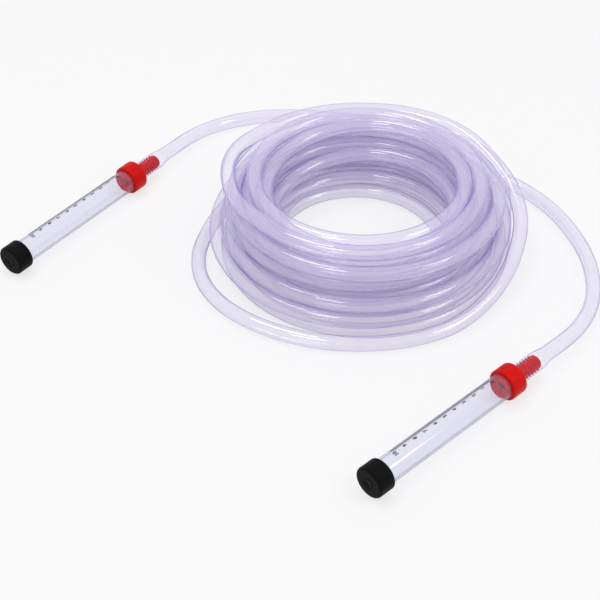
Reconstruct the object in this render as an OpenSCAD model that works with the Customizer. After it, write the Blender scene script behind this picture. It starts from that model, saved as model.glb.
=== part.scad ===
// Hose water level: two graduated clear vials with push-on caps, each plugged into a barbed
// adapter, joined by one long clear hose that lies in a heaped coil between them.
// Lengths are in millimetres. Each vial lies on the floor along its own axis, and places
// along it are counted from the outer face of its cap towards the hose.

/* [Hose] */
// Outside diameter of the hose
hose_od = 12; // [10:0.5:12]
// Wall thickness of the hose
hose_wall = 1.5; // [1:0.1:2]
// Length of hose drawn straight behind each adapter
hose_end_length = 38; // [34:1:60]
// Length over which the hose narrows behind the barb
hose_taper = 12; // [4:1:12]

/* [Coil] */
// Radius at the middle of the hose where the bottom layer starts
coil_start_r = 114; // [108:1:114]
// Clear space between neighbouring turns and layers
turn_gap = 0.5; // [0.45:0.05:0.6]

/* [Vial] */
// Outside diameter of the vial
vial_od = 19.6; // [16:0.2:20]
// Wall thickness of the vial
vial_wall = 1.2; // [0.8:0.1:2]
// Length of the vial that shows between the cap and the adapter
vial_shown = 122.5; // [110:0.5:160]

/* [Scale] */
// Length of the printed scale
scale_length = 100; // [50:10:100]
// Distance between neighbouring ticks
tick_step = 5; // [5:5:10]
// Length of the tick at every second step, round the vial
long_tick = 4; // [2:0.5:6]
// Length of the ticks between
short_tick = 2.4; // [1:0.2:3]
// Width of the printed lines
line_width = 0.5; // [0.3:0.1:0.8]
// Thickness of the print
ink = 0.12; // [0.1:0.01:0.2]
// Distance from the last tick to the adapter
scale_margin = 10; // [1:0.5:12]
// Turn of the left scale above the left side of its vial, in degrees
left_scale_turn = 72; // [30:1:120]
// Turn of the right scale above the left side of its vial, in degrees
right_scale_turn = 64; // [30:1:120]

/* [Cap] */
// Thickness of the cap's wall round the vial
cap_wall = 2.2; // [1.6:0.1:2.4]
// Length of the cap
cap_length = 14; // [10:0.5:20]
// Thickness of the cap's closed end
cap_end = 3; // [2:0.5:4]
// Rounding of the cap's closed end
cap_round = 2; // [0.5:0.1:2]
// Rounding of the cap's rim
rim_round = 0.8; // [0.2:0.1:1]
// Clearance round the vial inside the cap
cap_clearance = 0.1; // [0.05:0.05:0.3]
// Space between the end of the vial and the closed end of the cap
cap_end_gap = 0.3; // [0.1:0.1:1]

/* [Adapter] */
// Thickness of the collar's wall round the socket
collar_wall = 2.4; // [2.4:0.1:4]
// Length of the collar
collar_length = 13.5; // [13:0.5:30]
// Rounding of the collar's edges
collar_round = 1.2; // [0.3:0.1:1.5]
// Depth of the socket that takes the vial
socket_depth = 10; // [8:0.5:11]
// Reach of the plug past the collar, inside the vial
plug_reach = 3.5; // [2:0.5:8]
// Wall left round the plug's funnelled mouth
plug_wall = 1.4; // [1.2:0.1:2.4]
// Chamfer on the plug's front edge
plug_chamfer = 0.6; // [0.2:0.1:1]
// Clearance round the vial in the socket, inside and outside
socket_clearance = 0.1; // [0.05:0.05:0.2]
// Thickness of the seal at the bottom of the socket
seal_thickness = 1.5; // [1:0.1:2.5]
// Diameter of the water passage
passage_d = 5; // [4:0.2:7]
// Length of the barb
barb_length = 24; // [16:0.5:28]
// Diameter over the barb's ridges
barb_d = 12.4; // [11.2:0.1:12.8]
// Diameter of the barb between its ridges
barb_core_d = 10.8; // [9:0.1:11.2]
// Number of ridges on the barb
ridges = 8; // [4:1:10]
// Clearance between the ridges and the stretched hose
barb_clearance = 0.05; // [0.02:0.01:0.1]

/* [Layout] */
// Distance between the middles of the two caps' outer faces
vial_spread = 362; // [350:1:400]
// Angle by which each vial turns outwards, in degrees
vial_splay = 5; // [0:0.5:8]
// Distance by which the right vial lies further back than the left one
vial_lag = 11; // [0:1:20]

/* [Hidden] */
$fn = 64;

// Steps in a rounded edge, sides of the free hose, sides of a coiled turn and rings in one turn
arc_steps = 6;
free_sides = 12;
coil_sides = 6;
rings_per_turn = 24;
// Bevel at the ends of the vial
vial_bevel = 0.3;
// Room behind the barb's tip before the hose narrows
tip_room = 1;
// Hairline between the straight end of the hose and the lead that goes on from it
lead_gap = 0.05;

// Outside diameters of the cap and the collar, round the vial
cap_od = vial_od + 2 * (cap_clearance + cap_wall);
collar_od = vial_od + 2 * (socket_clearance + collar_wall);

// Radii
hose_r = hose_od / 2;
vial_r = vial_od / 2;
vial_bore_r = vial_r - vial_wall;
cap_r = cap_od / 2;
cap_bore_r = vial_r + cap_clearance;
collar_r = collar_od / 2;
plug_r = vial_bore_r - socket_clearance;
socket_r = vial_r + socket_clearance;
passage_r = passage_d / 2;
plug_bore_r = max(plug_r - plug_wall, passage_r);
barb_r = barb_d / 2;
barb_core_r = barb_core_d / 2;
stretched_r = max(barb_r, barb_core_r) + barb_clearance;
// Outside radius of the stretched hose, whose wall thins and keeps its area
cuff_r = sqrt(pow(stretched_r, 2) + pow(hose_r, 2) - pow(hose_r - hose_wall, 2));

// Rounded edges, no larger than their walls leave room for
cap_edge = min(cap_round, cap_end);
rim_edge = min(rim_round, cap_wall / 2);
collar_edge = min(collar_round, collar_wall / 2);

// Places along a vial's axis
vial_start = cap_end + cap_end_gap;
collar_start = cap_length + vial_shown;
collar_end = collar_start + collar_length;
socket_end = collar_start + socket_depth;
vial_end = socket_end - seal_thickness;
plug_start = collar_start - plug_reach;
barb_tip = collar_end + barb_length;
taper_start = barb_tip + tip_room;
taper_end = taper_start + hose_taper;
hose_exit = collar_end + hose_end_length;
scale_end = collar_start - scale_margin;
scale_start = scale_end - scale_length;

// Heights and places of the vials on the floor, with the pair centred on the origin
axis_z = max(collar_r, cap_r);
front_reach = (cap_r - cap_edge) * sin(vial_splay);
back_reach = barb_tip * cos(vial_splay) + barb_core_r * sin(vial_splay);
left_y = (front_reach - back_reach - vial_lag) / 2;
right_y = left_y + vial_lag;
left_place = [-vial_spread / 2, left_y, axis_z];
right_place = [vial_spread / 2, right_y, axis_z];

// Direction of a vial's axis, and a point along it
function axis_of(turn) = [-sin(turn), cos(turn), 0];
function along(place, turn, s) = place + axis_of(turn) * s;

// Coil: steady spirals, in and out by turns, that climb a layer round each reversal
coil_x = 3;
coil_y = 123;
coil_start_angle = 30;
turn_pitch = hose_od + turn_gap;
climb_turns = 0.5;
// Turns in each layer, from the bottom up
layer_turns = [4.1, 4.5, 4, 3.25, 2.75, 1.75];
layers = len(layer_turns);
function total(list, n) = n <= 0 ? 0 : list[n - 1] + total(list, n - 1);
layer_starts = [for (k = [0 : layers]) total(layer_turns, k)];
coil_turns = layer_starts[layers];
inward = [for (k = [0 : layers - 1]) (k % 2 == 0 ? 1 : -1) * layer_turns[k]];

function layer_at(t, k = 0) = k >= layers - 1 || t < layer_starts[k + 1] ? k : layer_at(t, k + 1);
function turns_in(t, k) = total(inward, k) + (k % 2 == 0 ? 1 : -1) * (t - layer_starts[k]);
function coil_radius(t) = coil_start_r - turn_pitch * turns_in(t, layer_at(t));
function eased(x) = let (c = min(max(x, 0), 1)) c * c * (3 - 2 * c);
climbs = [for (k = [1 : layers - 1]) layer_starts[k] - climb_turns / 2];
function climbed(t, n) = n <= 0 ? 0 : eased((t - climbs[n - 1]) / climb_turns) + climbed(t, n - 1);
function coil_height(t) = hose_r + turn_pitch * climbed(t, layers - 1);
function coil_angle(t) = coil_start_angle - 360 * t;
function coil_point(t) = [
    coil_x + coil_radius(t) * cos(coil_angle(t)),
    coil_y + coil_radius(t) * sin(coil_angle(t)),
    coil_height(t)
];
function heading(angle) = [sin(angle), -cos(angle), 0];

// The coil's own points, with a straight stretch of one diameter at each end
coil_steps = round(coil_turns * rings_per_turn);
start_heading = heading(coil_angle(0));
end_heading = heading(coil_angle(coil_turns));
coil_first = coil_point(0) - start_heading * hose_od;
coil_last = coil_point(coil_turns) + end_heading * hose_od;
coil_route = concat(
    [coil_first],
    [for (i = [0 : coil_steps]) coil_point(i * coil_turns / coil_steps)],
    [coil_last]
);

// Places on the floor plan of the free hose, each with its height in layers of the heap
function rests(places) = [for (p = places) [p[0], p[1], hose_r + turn_pitch * p[2]]];

// The free hose from the left vial: off the barb, behind the heap, over the other end of the
// hose and into the bottom layer
left_exit = along(left_place, vial_splay, hose_exit + lead_gap);
left_route = concat(
    [left_exit, left_exit + axis_of(vial_splay) * hose_od],
    rests([
        [-203, 132, 0.25], [-202, 156, 0.1], [-195, 179, 0], [-181, 201, 0], [-164, 219, 0],
        [-146, 233, 0], [-126, 246, 0], [-104, 258, 0], [-81, 268, 0], [-56, 275, 0.1],
        [-30, 279, 0.4], [-9, 278, 0.8], [11, 273, 1.15], [31, 264, 1.3], [48, 252, 1.2],
        [62, 238, 0.9], [73, 225, 0.45], [82, 213, 0.1]
    ]),
    [coil_first - start_heading * hose_od, coil_first]
);
left_lead_points = 7;

// The free hose to the right vial: down the right side of the heap, once round it on the floor
// and from behind it to the barb
right_exit = along(right_place, -vial_splay, hose_exit + lead_gap);
right_route = concat(
    [coil_last, coil_last + end_heading * hose_od],
    rests([
        [-54, 36, 5], [-75, 51, 5], [-93, 71, 4.8], [-106, 96, 4.45], [-110, 123, 4.2],
        [-107, 150, 4.15], [-97, 176, 4.15], [-81, 199, 4.15], [-61, 217, 4.15], [-37, 232, 4.1],
        [-10, 242, 3.95], [20, 244, 3.65], [49, 237, 3.2], [77, 225, 2.7], [101, 205, 2.1],
        [117, 178, 1.45], [126, 149, 0.85], [128, 119, 0.3], [124, 88, 0.05], [114, 64, 0],
        [99, 42, 0], [80, 23, 0], [56, 6, 0], [30, -5, 0], [1, -11, 0],
        [-29, -10, 0], [-57, 0, 0], [-80, 19, 0], [-97, 46, 0], [-109, 77, 0],
        [-116, 108, 0], [-118, 136, 0], [-112, 163, 0], [-98, 190, 0], [-78, 214, 0],
        [-53, 234, 0], [-25, 249, 0], [3, 260, 0], [29, 267, 0], [54, 269, 0],
        [79, 266, 0], [102, 259, 0], [124, 248, 0], [144, 235, 0], [162, 219, 0],
        [178, 199, 0], [190, 176, 0.1], [197, 149, 0.25]
    ]),
    [right_exit + axis_of(-vial_splay) * hose_od, right_exit]
);
right_descent_points = 22;
right_loop_points = 42;

// Direction of a route at each of its points
function unit(v) = v / norm(v);
function directions(p) = [
    for (i = [0 : len(p) - 1])
        i == 0 ? unit(p[1] - p[0])
        : i == len(p) - 1 ? unit(p[i] - p[i - 1])
        : unit(unit(p[i + 1] - p[i]) + unit(p[i] - p[i - 1]))
];
left_directions = directions(left_route);
right_directions = directions(right_route);
function part_of(list, first, last) = [for (i = [first : last]) list[i]];

// Lengths and the least gap between turns, measured between the coil's points
function length_of(p, i = 1) = i >= len(p) ? 0 : norm(p[i] - p[i - 1]) + length_of(p, i + 1);
hose_length = length_of(coil_route) + length_of(left_route) + length_of(right_route)
    + 2 * hose_end_length;
half_turn = rings_per_turn / 2;
turn_spacing = min([
    for (i = [0 : len(coil_route) - 1 - half_turn])
        min([for (j = [i + half_turn : len(coil_route) - 1]) norm(coil_route[i] - coil_route[j])])
]);
echo(least_gap_between_turns = turn_spacing - hose_od);
echo(hose_length = hose_length);

// A ring of points round a place on a route
function ring(p, d, sides) = let (
    side = unit(cross(d, [0, 0, 1])),
    up = cross(side, d)
) [
    for (k = [0 : sides - 1])
        p + hose_r * (up * cos(360 * k / sides) + side * sin(360 * k / sides))
];

// A closed tube of the hose's outside diameter along a route
module tube(points, headings, sides) {
    n = len(points);
    rings = [for (i = [0 : n - 1]) each ring(points[i], headings[i], sides)];
    walls = [
        for (i = [0 : n - 2], k = [0 : sides - 1])
            let (
                a = i * sides + k,
                b = i * sides + (k + 1) % sides
            )
            each [[a, b, b + sides], [a, b + sides, a + sides]]
    ];
    first = [for (k = [1 : sides - 2]) [0, k + 1, k]];
    base = (n - 1) * sides;
    last = [for (k = [1 : sides - 2]) [base, base + k, base + k + 1]];
    polyhedron(points = rings, faces = concat(walls, first, last), convexity = 20);
}

// Points of a quarter round in an outline, from one direction to the next
function corner(r, s, radius, from) = [
    for (i = [0 : arc_steps])
        let (a = from + 90 * i / arc_steps)
        [r + radius * cos(a), s + radius * sin(a)]
];

// Stands an outline of radius and place along the axis up as a turned solid
module turned(outline) {
    rotate_extrude() polygon(outline);
}

// Lays what is built upwards along a vial's axis
module lay(place, turn) {
    translate(place) rotate([0, 0, turn]) rotate([-90, 0, 0]) children();
}

module hose_colour() {
    color([0.84, 0.83, 0.95, 0.75]) children();
}

// Push-on cap: a cup with a rounded end and a softened rim
module cap() {
    color([0.05, 0.05, 0.06])
    turned(concat(
        [[0, 0]],
        corner(cap_r - cap_edge, cap_edge, cap_edge, -90),
        corner(cap_r - rim_edge, cap_length - rim_edge, rim_edge, 0),
        [
            [cap_bore_r, cap_length],
            [cap_bore_r, cap_end],
            [0, cap_end]
        ]
    ));
}

// Clear graduated tube, open at both ends
module vial() {
    color([0.86, 0.87, 0.96, 0.5])
    turned([
        [vial_bore_r, vial_start],
        [vial_r - vial_bevel, vial_start],
        [vial_r, vial_start + vial_bevel],
        [vial_r, vial_end - vial_bevel],
        [vial_r - vial_bevel, vial_end],
        [vial_bore_r, vial_end]
    ]);
}

// Printed scale: a ruled line with its ticks, turned up from the left side of the vial
module scale_print(turn) {
    steps = round(scale_length / tick_step);
    side = vial_r + ink;
    color([0.2, 0.2, 0.24])
    rotate([0, 0, turn])
    intersection() {
        difference() {
            translate([0, 0, scale_start - line_width])
                cylinder(h = scale_length + 2 * line_width, r = side);
            translate([0, 0, scale_start - 2 * line_width])
                cylinder(h = scale_length + 4 * line_width, r = vial_r);
        }
        union() {
            translate([-side, -line_width / 2, scale_start - line_width / 2])
                cube([vial_r / 2, line_width, scale_length + line_width]);
            for (i = [0 : steps])
                let (reach = i % 2 == 0 ? long_tick : short_tick)
                    translate([-side, 0, scale_start + i * tick_step - line_width / 2])
                        cube([vial_r / 2, reach, line_width]);
        }
    }
}

// Adapter: collar with a socket round the funnelled plug, a water passage and a ridged barb
module adapter() {
    ridge_pitch = barb_length / ridges;
    color([0.86, 0.1, 0.08])
    turned(concat(
        [
            [plug_bore_r, plug_start],
            [plug_r - plug_chamfer, plug_start],
            [plug_r, plug_start + plug_chamfer],
            [plug_r, socket_end],
            [socket_r, socket_end],
            [socket_r, collar_start]
        ],
        corner(collar_r - collar_edge, collar_start + collar_edge, collar_edge, -90),
        corner(collar_r - collar_edge, collar_end - collar_edge, collar_edge, 0),
        [
            for (i = [0 : ridges - 1])
                each [
                    [barb_core_r, collar_end + i * ridge_pitch],
                    [barb_r, collar_end + i * ridge_pitch + (i == 0 ? ridge_pitch / 4 : 0)]
                ]
        ],
        [[barb_core_r, barb_tip], [passage_r, barb_tip]],
        [[passage_r, collar_start]]
    ));
}

// Flat seal between the end of the vial and the bottom of the socket
module seal() {
    color([0.5, 0.06, 0.05])
    turned([
        [plug_r + socket_clearance, vial_end],
        [vial_r, vial_end],
        [vial_r, socket_end],
        [plug_r + socket_clearance, socket_end]
    ]);
}

// End of the hose, stretched over the barb and bored through
module hose_end() {
    hose_colour()
    turned([
        [stretched_r, collar_end],
        [cuff_r, collar_end],
        [cuff_r, taper_start],
        [hose_r, taper_end],
        [hose_r, hose_exit],
        [hose_r - hose_wall, hose_exit],
        [hose_r - hose_wall, taper_end],
        [stretched_r, taper_start]
    ]);
}

module left_cap() {
    lay(left_place, vial_splay) cap();
}

module left_vial() {
    lay(left_place, vial_splay) vial();
}

module left_scale() {
    lay(left_place, vial_splay) scale_print(left_scale_turn);
}

module left_adapter() {
    lay(left_place, vial_splay) adapter();
}

module left_seal() {
    lay(left_place, vial_splay) seal();
}

module left_hose_end() {
    lay(left_place, vial_splay) hose_end();
}

module left_hose_lead() {
    last = left_lead_points - 1;
    hose_colour()
    tube(part_of(left_route, 0, last), part_of(left_directions, 0, last), free_sides);
}

module right_cap() {
    lay(right_place, -vial_splay) cap();
}

module right_vial() {
    lay(right_place, -vial_splay) vial();
}

module right_scale() {
    lay(right_place, -vial_splay) scale_print(right_scale_turn);
}

module right_adapter() {
    lay(right_place, -vial_splay) adapter();
}

module right_seal() {
    lay(right_place, -vial_splay) seal();
}

module right_hose_end() {
    lay(right_place, -vial_splay) hose_end();
}

module right_hose_lead() {
    first = right_loop_points - 1;
    last = len(right_route) - 1;
    hose_colour()
    tube(part_of(right_route, first, last), part_of(right_directions, first, last), free_sides);
}

// Stretch that runs behind the heap and into its bottom layer
module hose_entry() {
    first = left_lead_points - 1;
    last = len(left_route) - 1;
    hose_colour()
    tube(part_of(left_route, first, last), part_of(left_directions, first, last), free_sides);
}

// The heap of turns, as one unbroken tube
module hose_coil() {
    hose_colour()
    tube(coil_route, directions(coil_route), coil_sides);
}

// Stretch that comes down from the top layer round the outside of the heap
module hose_descent() {
    last = right_descent_points - 1;
    hose_colour()
    tube(part_of(right_route, 0, last), part_of(right_directions, 0, last), free_sides);
}

// Stretch that runs once round the heap on the floor and on behind it
module hose_floor_loop() {
    first = right_descent_points - 1;
    last = right_loop_points - 1;
    hose_colour()
    tube(part_of(right_route, first, last), part_of(right_directions, first, last), free_sides);
}

left_cap();
left_vial();
left_scale();
left_adapter();
left_seal();
left_hose_end();
left_hose_lead();
right_cap();
right_vial();
right_scale();
right_adapter();
right_seal();
right_hose_end();
right_hose_lead();
hose_entry();
hose_coil();
hose_descent();
hose_floor_loop();
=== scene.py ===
"""Hose water level: two graduated vials on red barbed adapters, joined by a coiled clear hose."""

import logging
import math
from collections.abc import Sequence
from dataclasses import dataclass, replace
from enum import Enum

import bpy
from mathutils import Matrix, Vector


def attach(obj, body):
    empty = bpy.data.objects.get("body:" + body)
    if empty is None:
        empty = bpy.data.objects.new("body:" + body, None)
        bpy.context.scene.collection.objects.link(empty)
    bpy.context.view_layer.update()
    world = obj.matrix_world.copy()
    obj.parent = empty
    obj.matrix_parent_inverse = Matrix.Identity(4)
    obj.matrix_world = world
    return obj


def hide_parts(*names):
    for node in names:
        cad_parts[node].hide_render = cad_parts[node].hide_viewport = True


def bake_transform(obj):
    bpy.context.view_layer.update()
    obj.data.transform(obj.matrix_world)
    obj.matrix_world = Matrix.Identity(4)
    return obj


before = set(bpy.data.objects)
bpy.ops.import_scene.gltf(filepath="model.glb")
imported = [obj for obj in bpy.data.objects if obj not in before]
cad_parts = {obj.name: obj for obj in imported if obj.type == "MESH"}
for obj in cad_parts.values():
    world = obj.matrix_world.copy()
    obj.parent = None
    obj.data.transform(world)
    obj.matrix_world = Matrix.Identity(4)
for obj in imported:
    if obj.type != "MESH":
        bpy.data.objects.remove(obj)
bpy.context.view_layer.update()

LOG = logging.getLogger("water_level")
Colour = tuple[float, float, float]
Point = tuple[float, float, float]
Outline = list[tuple[float, float]]

MM = 0.001
UP = Vector((0.0, 0.0, 1.0))
# The middle of each cap's outer face in millimetres, and the degrees each vial splays outwards.
LEFT_CAP = (-181.0, -91.9642, 12.3)
RIGHT_CAP = (181.0, -80.9642, 12.3)
SPLAY = 5.0
# The degrees each scale stands above its vial's left side.
LEFT_LIFT, RIGHT_LIFT = 72.0, 64.0
# The middle of a noise pattern.
MEAN = 0.5
# A radius under this, in millimetres, is a point on the axis.
ON_AXIS = 1e-6
# The degrees past which an edge is drawn sharp, on any piece and on a turned one.
SHARP, TURNED_SHARP = 35.0, 40.0


class Wire:
    """A shader socket that can be added, multiplied and subtracted."""

    def __init__(self, board: "Board", socket: bpy.types.NodeSocket) -> None:
        """Keeps the socket and the board it is on.

        Args:
            board: The node tree's builder.
            socket: The output socket to wrap.
        """
        self.board = board
        self.socket = socket

    def reckon(self, operation: str, other: "Wire | float", flipped: bool = False) -> "Wire":
        """Adds one maths node.

        Args:
            operation: Blender's name of the operation.
            other: The second operand.
            flipped: Whether the other operand comes first.

        Returns:
            The result's wire.
        """
        pair = (other, self) if flipped else (self, other)
        return self.board.add("ShaderNodeMath", dict(enumerate(pair)), operation=operation)

    def __add__(self, other: "Wire | float") -> "Wire":
        """Adds a wire or a number."""
        return self.reckon("ADD", other)

    __radd__ = __add__

    def __mul__(self, other: "Wire | float") -> "Wire":
        """Multiplies by a wire or a number."""
        return self.reckon("MULTIPLY", other)

    __rmul__ = __mul__

    def __sub__(self, other: "Wire | float") -> "Wire":
        """Takes away a wire or a number."""
        return self.reckon("SUBTRACT", other)

    def __rsub__(self, other: "Wire | float") -> "Wire":
        """Takes this wire away from a number."""
        return self.reckon("SUBTRACT", other, flipped=True)


class Board:
    """Builds the node tree of a material or of the world."""

    def __init__(self, owner: bpy.types.Material | bpy.types.World) -> None:
        """Starts with an empty tree.

        Args:
            owner: The new material or world.
        """
        owner.use_nodes = True
        self.owner = owner
        self.tree = owner.node_tree
        self.tree.nodes.clear()

    def add(
        self, kind: str, inputs: dict[int | str, object] | None = None,
        output: int | str = 0, **settings: object,
    ) -> Wire:
        """Adds any node.

        Args:
            kind: The node's type name.
            inputs: Wires or constants by socket name or number.
            output: The output socket to hand back.
            **settings: The node's own properties.

        Returns:
            The chosen output as a wire.
        """
        node = self.tree.nodes.new(kind)
        for key, value in settings.items():
            setattr(node, key, value)
        for key, value in (inputs or {}).items():
            if isinstance(value, Wire):
                self.tree.links.new(value.socket, node.inputs[key])
            else:
                node.inputs[key].default_value = value
        return Wire(self, node.outputs[output])

    def place(self) -> Wire:
        """Gives the place on the object, in metres."""
        return self.add("ShaderNodeTexCoord", output="Object")

    def noise(self, scale: float, detail: float = 2.0, roughness: float = 0.55) -> Wire:
        """Adds a noise pattern.

        Args:
            scale: Waves to the metre.
            detail: Octaves of finer noise.
            roughness: How strong the finer noise is.

        Returns:
            The pattern, about its mean.
        """
        look = {"Scale": scale, "Detail": detail, "Roughness": roughness}
        return self.add("ShaderNodeTexNoise", {"Vector": self.place(), **look})

    def ramp(self, value: Wire, low: float, high: float) -> Wire:
        """Eases a value from nought to one between two limits.

        Args:
            value: The value.
            low: Where the result is nought.
            high: Where the result is one.

        Returns:
            The eased value.
        """
        limits = {"Value": value, "From Min": low, "From Max": high}
        return self.add("ShaderNodeMapRange", limits, interpolation_type="SMOOTHSTEP")

    def blend(self, share: Wire, first: Colour, second: Colour) -> Wire:
        """Mixes two colours over the surface.

        Args:
            share: How much of the second colour shows.
            first: The first colour.
            second: The second colour.

        Returns:
            The mixed colour.
        """
        # A Mix node's colours are its sockets 6 and 7, and its colour result is output 2.
        ends = {0: share, 6: (*first, 1.0), 7: (*second, 1.0)}
        return self.add("ShaderNodeMix", ends, output=2, data_type="RGBA", clamp_factor=True)

    def layer(self, share: Wire, first: Wire, second: Wire) -> Wire:
        """Mixes two shaders.

        Args:
            share: How much of the second shader shows.
            first: The first shader.
            second: The second shader.

        Returns:
            The mixed shader.
        """
        return self.add("ShaderNodeMixShader", {0: share, 1: first, 2: second})

    def bump(self, height: Wire, depth: float, strength: float) -> Wire:
        """Turns a height pattern into a normal.

        Args:
            height: The pattern.
            depth: Its full height in metres.
            strength: The share of the effect.

        Returns:
            The bumped normal.
        """
        relief = {"Height": height, "Distance": depth, "Strength": strength}
        return self.add("ShaderNodeBump", relief)

    def looked_at(self) -> Wire:
        """Tells the eye's own rays, and those by way of gloss or clear plastic, from the light's.

        Returns:
            One for a ray that looks, and nought for one that lights.
        """
        kinds = ("Camera", "Glossy", "Transmission")
        rays = [self.add("ShaderNodeLightPath", output=f"Is {kind} Ray") for kind in kinds]
        return self.ramp(rays[0] + rays[1] + rays[2], 0.0, 1.0)

    def finish(self, surface: Wire) -> bpy.types.Material | bpy.types.World:
        """Connects the surface.

        Args:
            surface: The shader that shows.

        Returns:
            The finished material or world.
        """
        kind = "Material" if isinstance(self.owner, bpy.types.Material) else "World"
        node = self.tree.nodes.new(f"ShaderNodeOutput{kind}")
        self.tree.links.new(surface.socket, node.inputs["Surface"])
        return self.owner


@dataclass(frozen=True)
class ClearFinish:
    """A clear plastic: what lies behind it shows head on, and its edges are denser and carry a
    painted dark colour, a painted shade that stands in for the dark lines refraction draws along
    them.

    Attributes:
        name: The material's name.
        body: The plastic's colour.
        deep: Its colour where it is cloudier.
        edge: Its colour seen edge on, a painted dark shade that stands in for the dark lines
            refraction draws along the edges.
        tint: The colour it gives to what shows through it.
        centre: How shut it is head on.
        rim: The facing at which the edge sets in, and at which it is full.
        dense: How shut it is edge on.
        roughness: The skin's roughness.
        ripple: The height of the skin's ripple, in metres.
        cloud: How much its shutness varies.
        shine: The skin's specular level.
        coat: The weight of the gloss.
        gloss: The gloss's refraction, high because only the shut share of the skin shows it.
        low: How shut it is before a fade.
        fade: The places along y between which it goes from low to centre.
        cloud_scale: Waves of cloud to the metre.
        smear_scale: Waves of smear to the metre.
        smear: How much the roughness varies.
        relief: The share of the ripple that shows.
        refraction: The skin's refraction.
        coat_roughness: The gloss's roughness.
        contrast: The contrast between body and deep.
        drop: What the contrast is lowered by.
    """

    name: str
    body: Colour
    deep: Colour
    edge: Colour
    tint: Colour
    centre: float
    rim: tuple[float, float]
    dense: float
    roughness: float = 0.1
    ripple: float = 0.00001
    cloud: float = 0.05
    shine: float = 1.0
    coat: float = 1.0
    gloss: float = 2.4
    low: float = 0.0
    fade: tuple[float, float] | None = None
    cloud_scale: float = 30.0
    smear_scale: float = 90.0
    smear: float = 0.08
    relief: float = 0.25
    refraction: float = 1.5
    coat_roughness: float = 0.06
    contrast: float = 1.6
    drop: float = 0.3

    def build(self) -> bpy.types.Material:
        """Makes the material.

        Returns:
            The clear material.
        """
        board = Board(bpy.data.materials.new(self.name))
        cloud = board.noise(self.cloud_scale)
        smear = board.noise(self.smear_scale)
        facing = board.add("ShaderNodeLayerWeight", {"Blend": 0.5}, output="Facing")
        shut = (cloud - MEAN) * self.cloud + self.centre
        if self.fade:
            along = board.add("ShaderNodeSeparateXYZ", {0: board.place()}, output="Y")
            shut = board.ramp(along, *self.fade) * (shut - self.low) + self.low
        skin = {
            "Roughness": (smear - MEAN) * self.smear + self.roughness,
            "IOR": self.refraction,
            "Specular IOR Level": self.shine,
            "Normal": board.bump(smear, self.ripple, self.relief),
        }
        coat = {
            "Coat Weight": self.coat,
            "Coat Roughness": self.coat_roughness,
            "Coat IOR": self.gloss,
        }
        patches = cloud * self.contrast - self.drop
        tone = board.blend(patches, self.body, self.deep)
        # Painted shade: the edge colour darkens the silhouette, standing in for the dark lines of
        # refraction, where the rim share below lays it on.
        painted_edge_shade = board.blend(patches, self.edge, self.deep)
        solid = board.add("ShaderNodeBsdfPrincipled", {"Base Color": tone, **skin, **coat})
        painted_edge_line = board.add("ShaderNodeBsdfPrincipled", {"Base Color": painted_edge_shade, **skin})
        clear = board.add("ShaderNodeBsdfTransparent", {"Color": (*self.tint, 1.0)})
        rim = board.ramp(facing, *self.rim) * self.dense
        return board.finish(board.layer(rim, board.layer(shut, clear, solid), painted_edge_line))


@dataclass(frozen=True)
class MouldedFinish:
    """An opaque moulded plastic or rubber with a fine grain.

    Attributes:
        name: The material's name.
        colour: Its colour.
        worn: Its colour in the flow marks.
        roughness: Its mean roughness.
        grain: Waves of grain to the metre.
        grain_depth: The grain's height in metres.
        shine: Its specular level.
        flow: Waves of flow marks to the metre.
        contrast: The contrast between the colours.
        drop: What the contrast is lowered by.
        grain_share: How much the roughness varies with the grain.
        flow_share: How much the roughness varies with the flow marks.
        grain_detail: Octaves of finer grain.
        relief: The share of the grain that shows.
    """

    name: str
    colour: Colour
    worn: Colour
    roughness: float
    grain: float
    grain_depth: float
    shine: float
    flow: float = 55.0
    contrast: float = 1.5
    drop: float = 0.35
    grain_share: float = 0.25
    flow_share: float = 0.1
    grain_detail: float = 4.0
    relief: float = 0.6

    def build(self) -> bpy.types.Material:
        """Makes the material.

        Returns:
            The moulded material.
        """
        board = Board(bpy.data.materials.new(self.name))
        flow = board.noise(self.flow)
        grain = board.noise(self.grain, self.grain_detail)
        uneven = (grain - MEAN) * self.grain_share + (flow - MEAN) * self.flow_share
        skin = {
            "Base Color": board.blend(flow * self.contrast - self.drop, self.colour, self.worn),
            "Roughness": uneven + self.roughness,
            "Normal": board.bump(grain, self.grain_depth, self.relief),
            "Specular IOR Level": self.shine,
        }
        return board.finish(board.add("ShaderNodeBsdfPrincipled", skin))


@dataclass(frozen=True)
class InkFinish:
    """Printed ink, a little thin in places.

    Attributes:
        name: The material's name.
        colour: Its colour.
        thin: Its colour where it is thin.
        patch: Waves of thin places to the metre.
        contrast: The contrast between the colours.
        drop: What the contrast is lowered by.
        roughness: Its least roughness.
        spread: How much the roughness varies.
    """

    name: str
    colour: Colour
    thin: Colour
    patch: float = 900.0
    contrast: float = 1.4
    drop: float = 0.3
    roughness: float = 0.35
    spread: float = 0.3

    def build(self) -> bpy.types.Material:
        """Makes the material.

        Returns:
            The ink material.
        """
        board = Board(bpy.data.materials.new(self.name))
        patch = board.noise(self.patch)
        skin = {
            "Base Color": board.blend(patch * self.contrast - self.drop, self.colour, self.thin),
            "Roughness": patch * self.spread + self.roughness,
        }
        return board.finish(board.add("ShaderNodeBsdfPrincipled", skin))


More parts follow.
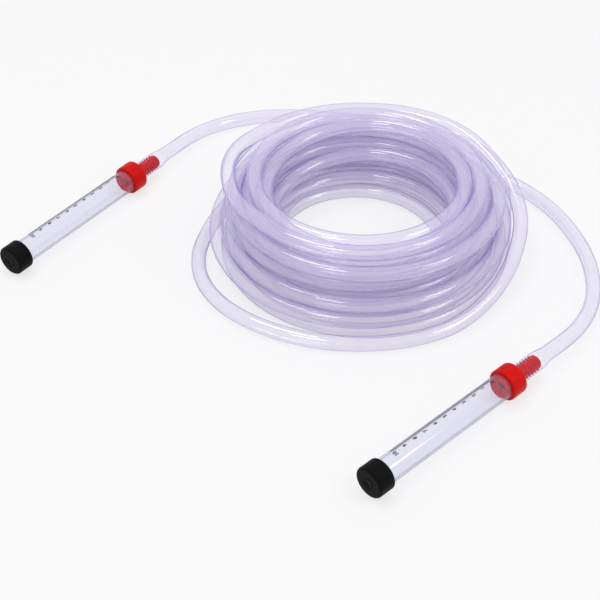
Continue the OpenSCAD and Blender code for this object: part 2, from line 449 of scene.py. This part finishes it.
@dataclass(frozen=True)
class FloorFinish:
    """A pale matt floor that looks nearly white, also in gloss and through clear plastic.

    Attributes:
        name: The material's name.
        colour: Its colour.
        worn: Its colour in patches.
        white: The share of plain white in what the eye sees of it.
        patch: Waves of patches to the metre.
        roughness: Its least roughness.
        spread: How much the roughness varies.
        shine: Its specular level.
    """

    name: str
    colour: Colour
    worn: Colour
    white: float
    patch: float = 40.0
    roughness: float = 0.7
    spread: float = 0.2
    shine: float = 0.2

    def build(self) -> bpy.types.Material:
        """Makes the material.

        Returns:
            The floor's material.
        """
        board = Board(bpy.data.materials.new(self.name))
        patch = board.noise(self.patch)
        skin = {
            "Base Color": board.blend(patch, self.colour, self.worn),
            "Roughness": patch * self.spread + self.roughness,
            "Specular IOR Level": self.shine,
        }
        matt = board.add("ShaderNodeBsdfPrincipled", skin)
        white = board.add("ShaderNodeEmission", {"Color": (1.0, 1.0, 1.0, 1.0), "Strength": 1.0})
        return board.finish(board.layer(board.looked_at() * self.white, matt, white))


class Look(Enum):
    """The finishes on the object and round it."""

    # Each clear finish's edge colour is painted shade: a dark line along its silhouette that
    # stands in for refraction.
    HOSE = ClearFinish(
        name="clear_hose", body=(0.89, 0.85, 0.998), deep=(0.84, 0.79, 0.995),
        edge=(0.24, 0.19, 0.66), tint=(0.982, 0.971, 1.0),
        centre=0.29, rim=(0.50, 0.80), dense=0.9,
    )
    LEFT_CUFF = replace(HOSE, name="left_cuff", low=0.03, fade=(0.082, 0.096))
    RIGHT_CUFF = replace(HOSE, name="right_cuff", low=0.03, fade=(0.093, 0.107))
    BORE = ClearFinish(
        name="hose_bore", body=(0.80, 0.78, 0.93), deep=(0.75, 0.73, 0.90),
        edge=(0.6, 0.58, 0.8), tint=(1.0, 1.0, 1.0),
        centre=0.012, rim=(0.7, 1.0), dense=0.06, cloud=0.01, shine=0.3, coat=0.0,
    )
    VIAL = ClearFinish(
        name="clear_vial", body=(0.66, 0.66, 0.90), deep=(0.62, 0.62, 0.88),
        edge=(0.14, 0.13, 0.18), tint=(0.97, 0.97, 0.993),
        centre=0.07, rim=(0.48, 0.82), dense=0.5,
        roughness=0.08, ripple=0.000005, cloud=0.02, gloss=4.0,
    )
    RED = MouldedFinish(
        name="red_adapter", colour=(0.70, 0.006, 0.005), worn=(0.64, 0.004, 0.003),
        roughness=0.42, grain=700.0, grain_depth=0.00006, shine=0.1,
    )
    BLACK = MouldedFinish(
        name="black_cap", colour=(0.003, 0.003, 0.0035), worn=(0.0045, 0.0045, 0.005),
        roughness=0.5, grain=900.0, grain_depth=0.00008, shine=0.06,
    )
    RUBBER = MouldedFinish(
        name="seal_rubber", colour=(0.46, 0.012, 0.010), worn=(0.40, 0.008, 0.008),
        roughness=0.6, grain=900.0, grain_depth=0.00008, shine=0.3,
    )
    INK = InkFinish(name="scale_ink", colour=(0.006, 0.006, 0.010), thin=(0.016, 0.016, 0.022))
    FLOOR = FloorFinish(
        name="floor", colour=(0.90, 0.90, 0.91), worn=(0.91, 0.91, 0.92), white=0.7,
    )


class Paints:
    """Makes each finish once."""

    def __init__(self) -> None:
        """Starts with no finish made."""
        self.made: dict[Look, bpy.types.Material] = {}

    def of(self, look: Look) -> bpy.types.Material:
        """Gives a finish's material.

        Args:
            look: The finish.

        Returns:
            Its material.
        """
        if look not in self.made:
            self.made[look] = look.value.build()
            LOG.info("finish %s", look.value.name)
        return self.made[look]


def eased(share: float) -> float:
    """Eases a share, which is held between nought and one.

    Args:
        share: The share.

    Returns:
        The eased share.
    """
    held = min(max(share, 0.0), 1.0)
    return held * held * (3 - 2 * held)


def repaint(piece: bpy.types.Object, faces: range, paint: bpy.types.Material) -> None:
    """Gives some faces of a piece another finish.

    Args:
        piece: The piece.
        faces: The faces' numbers.
        paint: The material they get.
    """
    piece.data.materials.append(paint)
    for i in faces:
        piece.data.polygons[i].material_index = len(piece.data.materials) - 1


def mesh_object(
    name: str, points: Sequence[Sequence[float]], faces: Sequence[Sequence[int]],
    paint: bpy.types.Material, sharp: float = SHARP,
) -> bpy.types.Object:
    """Makes a smooth-shaded mesh piece.

    Args:
        name: The piece's name.
        points: Its vertices in the row frame, in metres.
        faces: Its faces as vertex numbers.
        paint: Its material.
        sharp: The angle in degrees past which an edge is drawn sharp.

    Returns:
        The new object.
    """
    mesh = bpy.data.meshes.new(name)
    mesh.from_pydata([tuple(p) for p in points], [], [tuple(f) for f in faces])
    mesh.validate()
    mesh.materials.append(paint)
    mesh.shade_smooth()
    mesh.set_sharp_from_angle(angle=math.radians(sharp))
    piece = bpy.data.objects.new(name, mesh)
    bpy.context.scene.collection.objects.link(piece)
    return piece


@dataclass(frozen=True)
class Route:
    """A smooth line through points of the hose's middle."""

    points: tuple[Vector, ...]

    @classmethod
    def through(
        cls, knots: Sequence[Vector], start: Vector, end: Vector, step: float,
    ) -> "Route":
        """Draws a smooth curve through knots.

        Args:
            knots: The points to pass.
            start: The direction at the first knot.
            end: The direction at the last knot.
            step: The distance between points in metres.

        Returns:
            The route.
        """
        last = len(knots) - 1
        slopes = [start.normalized()]
        for i in range(1, last):
            before, after = knots[i] - knots[i - 1], knots[i + 1] - knots[i]
            slope = before / before.length_squared + after / after.length_squared
            slopes.append(slope.normalized())
        slopes.append(end.normalized())
        line = [knots[0].copy()]
        for i in range(last):
            a, b = knots[i], knots[i + 1]
            span = (b - a).length
            bend = (a, slopes[i] * span, b, slopes[i + 1] * span)
            pieces = max(2, round(span / step))
            for k in range(1, pieces + 1):
                t = k / pieces
                to_b, leave, arrive = 3 * t**2 - 2 * t**3, t**3 - 2 * t**2 + t, t**3 - t**2
                share = (2 * t**3 - 3 * t**2 + 1, leave, to_b, arrive)
                line.append(sum((v * w for v, w in zip(bend, share)), Vector()))
        return cls(tuple(line))

    def __add__(self, other: "Route") -> "Route":
        """Joins a route that starts where this one ends.

        Args:
            other: The route that follows.

        Returns:
            The joined route.
        """
        return Route(self.points + other.points[1:])

    @property
    def length(self) -> float:
        """The route's length in metres."""
        return sum((b - a).length for a, b in zip(self.points, self.points[1:]))

    def headings(self) -> list[Vector]:
        """Finds the direction at each point.

        Returns:
            One unit vector a point.
        """
        p, last = self.points, len(self.points) - 1
        return [(p[min(i + 1, last)] - p[max(i - 1, 0)]).normalized() for i in range(last + 1)]

    def parted(self, knot: Vector) -> tuple["Route", "Route"]:
        """Cuts the route in two at one of its points.

        Args:
            knot: The point.

        Returns:
            The route before the point and the one after it.
        """
        at = min(range(len(self.points)), key=lambda i: (self.points[i] - knot).length)
        return Route(self.points[: at + 1]), Route(self.points[at:])

    def tube(self, name: str, radius: float, sides: int, paints: Paints) -> bpy.types.Object:
        """Sweeps a closed round hose along the route.

        Args:
            name: The piece's name.
            radius: The hose's radius in metres.
            sides: The faces round it.
            paints: The finishes.

        Returns:
            The tube.
        """
        points, faces = [], []
        for spot, ahead in zip(self.points, self.headings()):
            across = ahead.cross(UP).normalized()
            over = across.cross(ahead)
            for k in range(sides):
                turn = 2 * math.pi * k / sides
                points.append(spot + (over * math.cos(turn) + across * math.sin(turn)) * radius)
        for i in range(len(self.points) - 1):
            for k in range(sides):
                a, b = i * sides + k, i * sides + (k + 1) % sides
                faces.append((a, b, b + sides, a + sides))
        ends = [tuple(range(sides))[::-1], tuple(range(len(points) - sides, len(points)))]
        piece = mesh_object(name, points, faces + ends, paints.of(Look.HOSE))
        repaint(piece, range(len(faces), len(faces + ends)), paints.of(Look.BORE))
        return piece


class Side(Enum):
    """The two ends of the hose."""

    LEFT = "left"
    RIGHT = "right"


class Corner(Enum):
    """The outer corners of a turned piece, by the angle at which their round starts."""

    NEAR_CAP = -90.0
    NEAR_HOSE = 0.0


@dataclass(frozen=True)
class Axis:
    """A vial's own axis, from the outer face of its cap towards the hose."""

    side: Side
    origin: Vector
    turn: float

    @property
    def ahead(self) -> Vector:
        """The direction from the cap to the hose."""
        return Vector((-math.sin(self.turn), math.cos(self.turn), 0.0))

    @property
    def across(self) -> Vector:
        """The level direction to the right of the axis."""
        return Vector((math.cos(self.turn), math.sin(self.turn), 0.0))

    def at(self, along: float, radius: float = 0.0, lift: float = 0.0) -> Vector:
        """Finds a point round the axis.

        Args:
            along: Millimetres from the cap's outer face.
            radius: Millimetres from the axis.
            lift: Angle above the left side, in radians.

        Returns:
            The point in the row frame, in metres.
        """
        out = UP * math.sin(lift) - self.across * math.cos(lift)
        return self.origin + (self.ahead * along + out * radius) * MM

    def lathe(
        self, name: str, outline: Outline, paint: bpy.types.Material, sides: int,
    ) -> bpy.types.Object:
        """Turns an outline round the axis.

        Args:
            name: The piece's name.
            outline: Radius and place along the axis in millimetres, as a closed line.
            paint: Its material.
            sides: The faces round it.

        Returns:
            The turned piece.
        """
        points, rings = [], []
        for radius, along in outline:
            if radius < ON_AXIS:
                rings.append([len(points)] * sides)
                points.append(self.at(along))
                continue
            rings.append(list(range(len(points), len(points) + sides)))
            points.extend(self.at(along, radius, 2 * math.pi * k / sides) for k in range(sides))
        faces = []
        for i, ring in enumerate(rings):
            following = rings[(i + 1) % len(rings)]
            for k in range(sides):
                j = (k + 1) % sides
                corners = list(dict.fromkeys((ring[k], ring[j], following[j], following[k])))
                if len(corners) > 2:
                    faces.append(corners)
        return mesh_object(name, points, faces, paint, TURNED_SHARP)


def rounded(outer: float, along: float, size: float, corner: Corner, steps: int = 8) -> Outline:
    """Draws a quarter round of an outline.

    Args:
        outer: The outer radius that it reaches.
        along: The round's middle, along the axis.
        size: Its own radius.
        corner: The corner it softens.
        steps: The steps in it.

    Returns:
        Its points.
    """
    turns = [math.radians(corner.value + 90 * i / steps) for i in range(steps + 1)]
    return [(outer - size + size * math.cos(a), along + size * math.sin(a)) for a in turns]


@dataclass
class VialEnd:
    """One end of the level: cap, vial, scale, adapter, seal and the hose end on its barb.

    Sizes are in millimetres, and places are counted along the axis from the cap's outer face.
    """

    axis: Axis
    paints: Paints
    scale_lift: float
    sides: int = 96
    soft: float = 0.3
    play: float = 0.1

    cap_r: float = 12.1
    cap_bore_r: float = 9.9
    cap_length: float = 14.0
    cap_floor: float = 3.0
    cap_round: float = 2.0
    lip_round: float = 0.8
    lip_lead: tuple[float, float] = (0.5, 0.4)
    cap_rings: tuple[float, ...] = (5.0, 9.0)
    cap_face: tuple[tuple[float, float], ...] = (
        (0.0, 0.25), (1.6, 0.25), (1.9, 0.0), (3.6, 0.0), (3.9, 0.35), (4.5, 0.35), (4.8, 0.0),
        (9.2, 0.0),
    )

    vial_r: float = 9.8
    bore_r: float = 8.6
    vial_start: float = 3.3
    vial_end: float = 145.0
    vial_rings: tuple[float, ...] = (20.0, 75.0, 120.0)
    vial_sides: int = 128
    foot_in: float = 0.4
    groove_wall: float = 0.05

    scale_zero: float = 126.5
    marks: int = 100
    ink: float = 0.1
    ink_step: float = 0.8
    line_half: float = 0.32
    line_over: float = 0.3
    tick_half: float = 0.2
    tick_reach: tuple[float, float, float] = (4.4, 3.6, 2.8)
    number_gap: float = 1.8
    number_size: float = 4.2
    number_bold: float = 0.2

    plug_start: float = 133.0
    plug_bore_r: float = 7.1
    plug_round: float = 0.6
    collar_r: float = 12.3
    collar_start: float = 136.5
    collar_end: float = 150.0
    collar_round: float = 1.2
    socket_end: float = 146.5
    mouth: float = 0.5
    core_r: float = 5.4
    passage_r: float = 2.5
    barb_r: float = 6.2
    barb_tip: float = 174.0
    tip_round: float = 0.2
    first_foot: float = 0.4
    ridges: int = 8
    crest: tuple[tuple[float, float], ...] = ((-0.1, 0.05), (0.0, 0.25), (-0.12, 0.6))

    hose_r: float = 6.0
    hose_wall: float = 1.5
    hose_exit: float = 188.0
    hose_play: float = 0.05
    neck_start: float = 1.0
    neck_length: float = 12.0
    wave_depth: float = 0.45
    wave_shift: float = 0.2
    cuff_steps: int = 96

    @property
    def side(self) -> str:
        """The end's name."""
        return self.axis.side.value

    @property
    def pitch(self) -> float:
        """The distance between the barb's ridges."""
        return (self.barb_tip - self.collar_end) / self.ridges

    def keep(self, piece: bpy.types.Object, node: str, body: str) -> None:
        """Puts a piece in the place of its solid.

        Args:
            piece: The new piece.
            node: The solid's name without its side.
            body: The body it rides on, without its side.
        """
        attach(piece, f"{self.side}_{body}")
        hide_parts(f"{self.side}_{node}")
        LOG.info("%s stands for %s_%s", piece.name, self.side, node)

    def build(self) -> None:
        """Makes every piece of this end."""
        self.cap()
        self.vial()
        self.scale()
        self.adapter()
        self.seal()
        self.hose_end()

    def cap(self) -> None:
        """Makes the push-on cap, with a moulded ring sunk in its end and a softened rim."""
        bore, length = self.cap_bore_r, self.cap_length
        widen, deep = self.lip_lead
        outline = [*self.cap_face]
        outline += rounded(self.cap_r, self.cap_round, self.cap_round, Corner.NEAR_CAP)
        outline += [(self.cap_r, along) for along in self.cap_rings]
        outline += rounded(self.cap_r, length - self.lip_round, self.lip_round, Corner.NEAR_HOSE)
        outline += [(bore + widen, length), (bore, length - deep)]
        outline += [(bore, self.cap_floor), (0.0, self.cap_floor)]
        paint = self.paints.of(Look.BLACK)
        piece = self.axis.lathe(f"{self.side}_cap_moulding", outline, paint, self.sides)
        self.keep(piece, "cap", "cap")

    def vial(self) -> None:
        """Makes the clear tube, with the adapter's red painted on the foot that its socket hides:
        painted light, an opaque red face that stands in for the lit socket seen through the clear
        wall, which the render would leave in shade.

        A thin groove parts the foot from the clear tube, so that no grey edge shows between them.
        """
        inner, outer, soft = self.bore_r, self.vial_r, self.soft
        start, end = self.vial_start, self.vial_end
        foot, groove_r = self.collar_start + self.foot_in, inner + self.groove_wall
        past = foot + self.play
        outside = [(inner, start + soft), (inner + soft, start)]
        outside += [(outer - soft, start), (outer, start + soft)]
        outside += [(outer, along) for along in self.vial_rings]
        hidden = [(outer, foot), (groove_r, foot), (groove_r, past), (outer, past)]
        hidden += [(outer, end - soft), (outer - soft, end), (inner + soft, end)]
        inside = [(inner, end - soft), *((inner, along) for along in self.vial_rings[::-1])]
        sides, paint = self.vial_sides, self.paints.of(Look.VIAL)
        outline = outside + hidden + inside
        piece = self.axis.lathe(f"{self.side}_vial_tube", outline, paint, sides)
        # Painted light: the foot's faces take the adapter's red in place of the shade that would
        # show through the clear wall at the socket's mouth.
        red = range(len(outside) * sides, len(outside + hidden) * sides)
        repaint(piece, red, self.paints.of(Look.RED))
        self.keep(piece, "vial", "vial")

    def scale(self) -> None:
        """Prints the ruled line, its ticks and the plain numbers 0 to 10."""
        points: list[Vector] = []
        faces: list[list[int]] = []
        ink_r = self.vial_r + self.ink

        def wrapped(right: float, up: float, start: float) -> Vector:
            """Lays a flat point of the print on the vial.

            Args:
                right: Millimetres to the reader's right, with the cap held up.
                up: Millimetres towards the cap.
                start: The place along the axis that it is counted from.

            Returns:
                The point on the vial.
            """
            return self.axis.at(start - up, ink_r, self.scale_lift - right / ink_r)

        def stripe(left: float, right: float, low: float, high: float, start: float) -> None:
            """Adds one printed bar.

            Args:
                left: Its left edge.
                right: Its right edge.
                low: Its lower edge.
                high: Its upper edge.
                start: The place along the axis that it is counted from.
            """
            steps = max(1, math.ceil((right - left) / self.ink_step))
            first = len(points)
            for i in range(steps + 1):
                x = left + (right - left) * i / steps
                points.extend((wrapped(x, low, start), wrapped(x, high, start)))
            for i in range(first, first + 2 * steps, 2):
                faces.append([i, i + 2, i + 3, i + 1])

        zero, half, over = self.scale_zero, self.tick_half, self.line_over
        stripe(-self.line_half, self.line_half, -over, self.marks + over, zero)
        ten, five, one = self.tick_reach
        for i in range(self.marks + 1):
            reach = ten if i % 10 == 0 else five if i % 5 == 0 else one
            stripe(half, reach, -half, half, zero - i)
        for i in range(0, self.marks + 1, 10):
            outline, corners = self.number(str(i // 10))
            first = len(points)
            points.extend(wrapped(x - self.number_gap, y, zero - i) for x, y in outline)
            faces.extend([first + k for k in c] for c in corners)
        piece = mesh_object(f"{self.side}_scale_marks", points, faces, self.paints.of(Look.INK))
        self.keep(piece, "scale", "vial")

    def number(self, text: str) -> tuple[Outline, list[list[int]]]:
        """Draws a plain number as flat faces, from its right edge and its middle.

        Args:
            text: The digits.

        Returns:
            Its points in millimetres and its faces.
        """
        curve = bpy.data.curves.new("number", "FONT")
        curve.body = text
        curve.size, curve.offset = self.number_size, self.number_bold
        curve.align_x = "RIGHT"
        curve.resolution_u = 3
        holder = bpy.data.objects.new("number", curve)
        bpy.context.scene.collection.objects.link(holder)
        bpy.context.view_layer.update()
        graph = bpy.context.evaluated_depsgraph_get()
        mesh = bpy.data.meshes.new_from_object(holder.evaluated_get(graph))
        spots = [(v.co.x, v.co.y) for v in mesh.vertices]
        faces = [list(p.vertices) for p in mesh.polygons]
        bpy.data.objects.remove(holder)
        bpy.data.curves.remove(curve)
        bpy.data.meshes.remove(mesh)
        middle = (min(y for _, y in spots) + max(y for _, y in spots)) / 2
        edge = max(x for x, _ in spots)
        return [(x - edge, y - middle) for x, y in spots], faces

    def adapter(self) -> None:
        """Makes the red adapter: plug, socket, collar and ridged barb."""
        plug, start, socket = self.plug_start, self.collar_start, self.socket_end
        end, tip, core = self.collar_end, self.barb_tip, self.core_r
        plug_r, socket_r = self.bore_r - self.play, self.vial_r + self.play
        blunt, nip = self.plug_round, self.plug_round / 4
        outline = [(self.plug_bore_r, plug), (plug_r - blunt, plug)]
        outline += [(plug_r - nip, plug + nip), (plug_r, plug + blunt)]
        outline += [(plug_r, socket), (socket_r, socket)]
        outline += [(socket_r, start + self.mouth), (socket_r + self.soft, start)]
        size = self.collar_round
        outline += rounded(self.collar_r, start + size, size, Corner.NEAR_CAP)
        outline += rounded(self.collar_r, end - size, size, Corner.NEAR_HOSE)
        outline += [(core + self.mouth, end), (core, end + self.soft)]
        for i in range(self.ridges):
            foot = end + i * self.pitch
            top = foot + (self.pitch / 4 if i == 0 else 0.0)
            outline += [(core, max(foot, end + self.first_foot))]
            outline += [(self.barb_r + out, top + along) for out, along in self.crest]
        outline += [(core, tip - self.tip_round), (core - self.tip_round, tip)]
        outline += [(self.passage_r, tip), (self.passage_r, start)]
        paint = self.paints.of(Look.RED)
        piece = self.axis.lathe(f"{self.side}_adapter_moulding", outline, paint, self.sides)
        self.keep(piece, "adapter", "vial")

    def seal(self) -> None:
        """Gives the seal's solid its rubber finish."""
        node = bpy.data.objects[f"{self.side}_seal"]
        node.data.materials.clear()
        node.data.materials.append(self.paints.of(Look.RUBBER))
        LOG.info("%s_seal keeps its solid", self.side)

    def hose_end(self) -> None:
        """Makes the end of the hose, stretched in a soft wave over the barb's ridges."""
        end, tip, steps = self.collar_end, self.barb_tip, self.cuff_steps
        inner_r, reach = self.hose_r - self.hose_wall, self.barb_r + self.hose_play
        cuff_r = math.sqrt(reach**2 + self.hose_r**2 - inner_r**2)
        outside, inside = [], []
        for i in range(steps + 1):
            along = end + (self.hose_exit - end) * i / steps
            neck = eased((along - tip - self.neck_start) / self.neck_length)
            turn = 2 * math.pi * (along - end - self.wave_shift) / self.pitch
            wave = self.wave_depth * (1 - math.cos(turn)) / 2 if along < tip else 0.0
            outside.append((cuff_r - wave + (self.hose_r - cuff_r) * neck, along))
            inside.append((reach + (inner_r - reach) * neck, along))
        look = Look.LEFT_CUFF if self.axis.side is Side.LEFT else Look.RIGHT_CUFF
        outline, paint = outside + inside[::-1], self.paints.of(look)
        piece = self.axis.lathe(f"{self.side}_hose_cuff", outline, paint, self.sides)
        bore = range(steps * self.sides, (2 * steps + 1) * self.sides)
        repaint(piece, bore, self.paints.of(Look.BORE))
        self.keep(piece, "hose_end", "vial")


@dataclass
class Hose:
    """The hose between the two vials: both leads and the heap.

    Sizes and plan places are in millimetres, and a place's third number is its height in layers.
    """

    paints: Paints
    left: Axis
    right: Axis
    diameter: float = 12.0
    gap: float = 0.5
    middle: tuple[float, float] = (3.0, 123.0)
    start_r: float = 114.0
    start_angle: float = 30.0
    layers: tuple[float, ...] = (4.1, 4.5, 4.0, 3.25, 2.75, 1.75)
    climb: float = 0.5
    exit_at: float = 188.05
    bend_reach: float = 70.0
    step: float = 4.0
    left_lead: int = 7
    right_loop: int = 42
    steps_a_turn: int = 72
    sides: int = 20
    left_places: tuple[Point, ...] = (
        (-203, 132, 0.25), (-202, 156, 0.1), (-195, 179, 0), (-181, 201, 0), (-164, 219, 0),
        (-146, 233, 0), (-126, 246, 0), (-104, 258, 0), (-81, 268, 0), (-56, 275, 0.1),
        (-30, 279, 0.4), (-9, 278, 0.8), (11, 273, 1.15), (31, 264, 1.3), (48, 252, 1.2),
        (62, 238, 0.9), (73, 225, 0.45), (82, 213, 0.1),
    )
    right_places: tuple[Point, ...] = (
        (-54, 36, 5), (-75, 51, 5), (-93, 71, 4.8), (-106, 96, 4.45), (-110, 123, 4.2),
        (-107, 150, 4.15), (-97, 176, 4.15), (-81, 199, 4.15), (-61, 217, 4.15), (-37, 232, 4.1),
        (-10, 242, 3.95), (20, 244, 3.65), (49, 237, 3.2), (77, 225, 2.7), (101, 205, 2.1),
        (117, 178, 1.45), (126, 149, 0.85), (128, 119, 0.3), (124, 88, 0.05), (114, 64, 0),
        (99, 42, 0), (80, 23, 0), (56, 6, 0), (30, -5, 0), (1, -11, 0),
        (-29, -10, 0), (-57, 0, 0), (-80, 19, 0), (-97, 46, 0), (-109, 77, 0),
        (-116, 108, 0), (-118, 136, 0), (-112, 163, 0), (-98, 190, 0), (-78, 214, 0),
        (-53, 234, 0), (-25, 249, 0), (3, 260, 0), (29, 267, 0), (54, 269, 0),
        (79, 266, 0), (102, 259, 0), (124, 248, 0), (144, 235, 0), (162, 219, 0),
        (178, 199, 0), (190, 176, 0.1), (197, 149, 0.25),
    )

    @property
    def pitch(self) -> float:
        """The distance between neighbouring turns."""
        return self.diameter + self.gap

    @property
    def turns(self) -> float:
        """All the turns in the heap."""
        return sum(self.layers)

    def spot(self, x: float, y: float, height: float) -> Vector:
        """Lays a plan point at its height.

        Args:
            x: Its place along x.
            y: Its place along y.
            height: Its height in layers.

        Returns:
            The point on the hose's middle, in metres.
        """
        return Vector((x, y, self.diameter / 2 + self.pitch * height)) * MM

    def angle(self, turn: float) -> float:
        """Finds the angle round the heap's middle, in radians, after some turns."""
        return math.radians(self.start_angle - 360 * turn)

    def coil_point(self, turn: float) -> Vector:
        """Finds a point of the heap.

        Args:
            turn: Turns from the start of the bottom layer.

        Returns:
            The point, in metres.
        """
        begun, inward, height = 0.0, 0.0, 0.0
        for k, share in enumerate(self.layers):
            if k:
                height += eased((turn - begun + self.climb / 2) / self.climb)
            if turn >= begun:
                wound = min(turn - begun, share)
                inward += wound if k % 2 == 0 else -wound
            begun += share
        radius, angle = self.start_r - self.pitch * inward, self.angle(turn)
        x, y = self.middle
        return self.spot(x + radius * math.cos(angle), y + radius * math.sin(angle), height)

    def heading(self, turn: float) -> Vector:
        """Finds the hose's level direction in the heap.

        Args:
            turn: Turns from the start.

        Returns:
            The direction.
        """
        return Vector((math.sin(self.angle(turn)), -math.cos(self.angle(turn)), 0.0))

    def build(self) -> None:
        straight, step = self.diameter * MM, self.step * MM
        into, out_of = self.heading(0.0), self.heading(self.turns)
        first = self.coil_point(0.0) - into * straight
        last = self.coil_point(self.turns) + out_of * straight
        left_exit, right_exit = self.left.at(self.exit_at), self.right.at(self.exit_at)
        left_knots = [left_exit, left_exit + self.left.ahead * straight]
        left_knots += [self.spot(*place) for place in self.left_places]
        left_knots += [first - into * straight, first]
        right_knots = [last, last + out_of * straight]
        right_knots += [self.spot(*place) for place in self.right_places]
        right_knots += [right_exit + self.right.ahead * straight, right_exit]
        left = Route.through(left_knots, self.left.ahead, into, step)
        right = Route.through(right_knots, out_of, -self.right.ahead, step)
        left_lead, entry = left.parted(left_knots[self.left_lead - 1])
        floor_loop, right_lead = right.parted(right_knots[self.right_loop - 1])
        steps = round(self.turns * self.steps_a_turn)
        coil = (self.coil_point(i * self.turns / steps) for i in range(steps + 1))
        self.lead(left_lead, self.left, left_exit)
        self.lead(right_lead, self.right, right_exit)
        self.heap(entry + Route((first, *coil, last)) + floor_loop)

    def lead(self, route: Route, axis: Axis, leaves: Vector) -> None:
        """Makes the free hose between the heap and a vial.

        Args:
            route: Its route.
            axis: The vial's axis.
            leaves: Where it leaves the hose end.
        """
        side = axis.side.value
        piece = route.tube(f"{side}_lead", self.diameter / 2 * MM, self.sides, self.paints)
        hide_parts(f"{side}_hose_lead")
        bends_from = leaves + axis.ahead * (self.bend_reach * MM)
        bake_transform(piece)
        round(route.length, 3)
        LOG.info("%s lead, %.3f m", side, route.length)

    def heap(self, route: Route) -> None:
        """Makes the hose behind the heap, the coil, the way down and the floor loop as one.

        Args:
            route: The whole route.
        """
        piece = route.tube("hose_heap", self.diameter / 2 * MM, self.sides, self.paints)
        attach(piece, "coil")
        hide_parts("hose_entry", "hose_coil", "hose_descent", "hose_floor_loop")
        round(route.length, 3)
        LOG.info("heap of %.2f turns, %.3f m", self.turns, route.length)


@dataclass(frozen=True)
class Lamp:
    """A soft round lamp, with its place and width in metres and its power in watts."""

    name: str
    place: Point
    size: float
    power: float

    def hang(self, aim: Point) -> None:
        """Hangs the lamp.

        Args:
            aim: The point it shines on.
        """
        data = bpy.data.lights.new(self.name, "AREA")
        data.shape, data.size, data.energy = "DISK", self.size, self.power
        holder = bpy.data.objects.new(self.name, data)
        holder.location = self.place
        towards = Vector(aim) - Vector(self.place)
        holder.rotation_euler = towards.to_track_quat("-Z", "Y").to_euler()
        bpy.context.scene.collection.objects.link(holder)
        LOG.info("lamp %s", self.name)


@dataclass
class Studio:
    """The camera, the floor and the soft light, in metres."""

    paints: Paints
    eye: Point = (0.5596, -0.5693, 0.7085)
    right: Point = (0.743, 0.669, 0.0)
    ahead: Point = (-0.506, 0.562, -0.655)
    lens: float = 82.81
    sensor: float = 36.0
    clip: tuple[float, float] = (0.01, 50.0)
    floor_reach: float = 8.0
    floor_drop: float = 0.0004
    sky: tuple[float, float] = (0.50, 0.74)
    sky_tint: Colour = (0.96, 0.96, 1.0)
    backdrop: Colour = (0.96, 0.96, 0.965)
    clear_walls: int = 48
    aim: Point = (0.0, 0.08, 0.02)
    lamps: tuple[Lamp, ...] = (
        Lamp("key", (-0.5, 0.1, 1.5), 0.5, 3.8),
        Lamp("fill", (1.0, 0.5, 1.2), 0.55, 3.0),
        Lamp("front", (0.1, -0.7, 1.5), 0.5, 3.4),
    )

    def camera(self) -> None:
        """Sets the camera where the photograph was taken from."""
        data = bpy.data.cameras.new("camera")
        data.lens, data.sensor_width = self.lens, self.sensor
        data.clip_start, data.clip_end = self.clip
        ahead, right = Vector(self.ahead).normalized(), Vector(self.right).normalized()
        turn = Matrix((right, right.cross(ahead), -ahead)).transposed()
        holder = bpy.data.objects.new("camera", data)
        holder.matrix_world = Matrix.Translation(self.eye) @ turn.to_4x4()
        bpy.context.scene.collection.objects.link(holder)
        bpy.context.scene.camera = holder
        LOG.info("camera at %s", self.eye)

    def floor(self) -> None:
        """Lays a plain pale floor, a hair under the object."""
        far, corners = self.floor_reach, ((-1, -1), (1, -1), (1, 1), (-1, 1))
        points = [(x * far, y * far, -self.floor_drop) for x, y in corners]
        mesh_object("floor", points, [(0, 1, 2, 3)], self.paints.of(Look.FLOOR))
        LOG.info("floor")

    def light(self) -> None:
        """Lights the object from a sky that is brighter overhead, with soft lamps for gloss.

        To the eye, and in gloss, the sky is a pale backdrop.
        """
        board = Board(bpy.data.worlds.new("studio"))
        way = board.add("ShaderNodeTexCoord", output="Generated")
        up = board.add("ShaderNodeSeparateXYZ", {0: way}, output="Z")
        low, high = self.sky
        glow = board.add("ShaderNodeMapRange", {"Value": up, "To Min": low, "To Max": high})
        lit = {"Color": (*self.sky_tint, 1.0), "Strength": glow}
        seen = {"Color": (*self.backdrop, 1.0), "Strength": 1.0}
        sky, backdrop = (board.add("ShaderNodeBackground", look) for look in (lit, seen))
        bpy.context.scene.world = board.finish(board.layer(board.looked_at(), sky, backdrop))
        for lamp in self.lamps:
            lamp.hang(self.aim)

    def build(self) -> None:
        """Makes the camera, the floor and the light."""
        scene = bpy.context.scene
        scene.view_settings.view_transform = "Standard"
        scene.cycles.transparent_max_bounces = self.clear_walls
        self.camera()
        self.floor()
        self.light()


def main() -> None:
    """Builds the whole scene."""
    logging.basicConfig(level=logging.INFO, format="%(name)s: %(message)s")
    paints = Paints()
    splay = math.radians(SPLAY)
    left = Axis(Side.LEFT, Vector(LEFT_CAP) * MM, splay)
    right = Axis(Side.RIGHT, Vector(RIGHT_CAP) * MM, -splay)
    Studio(paints).build()
    Hose(paints, left, right).build()
    for axis, lift in ((left, LEFT_LIFT), (right, RIGHT_LIFT)):
        VialEnd(axis, paints, math.radians(lift)).build()


if __name__ == "__main__":
    main()
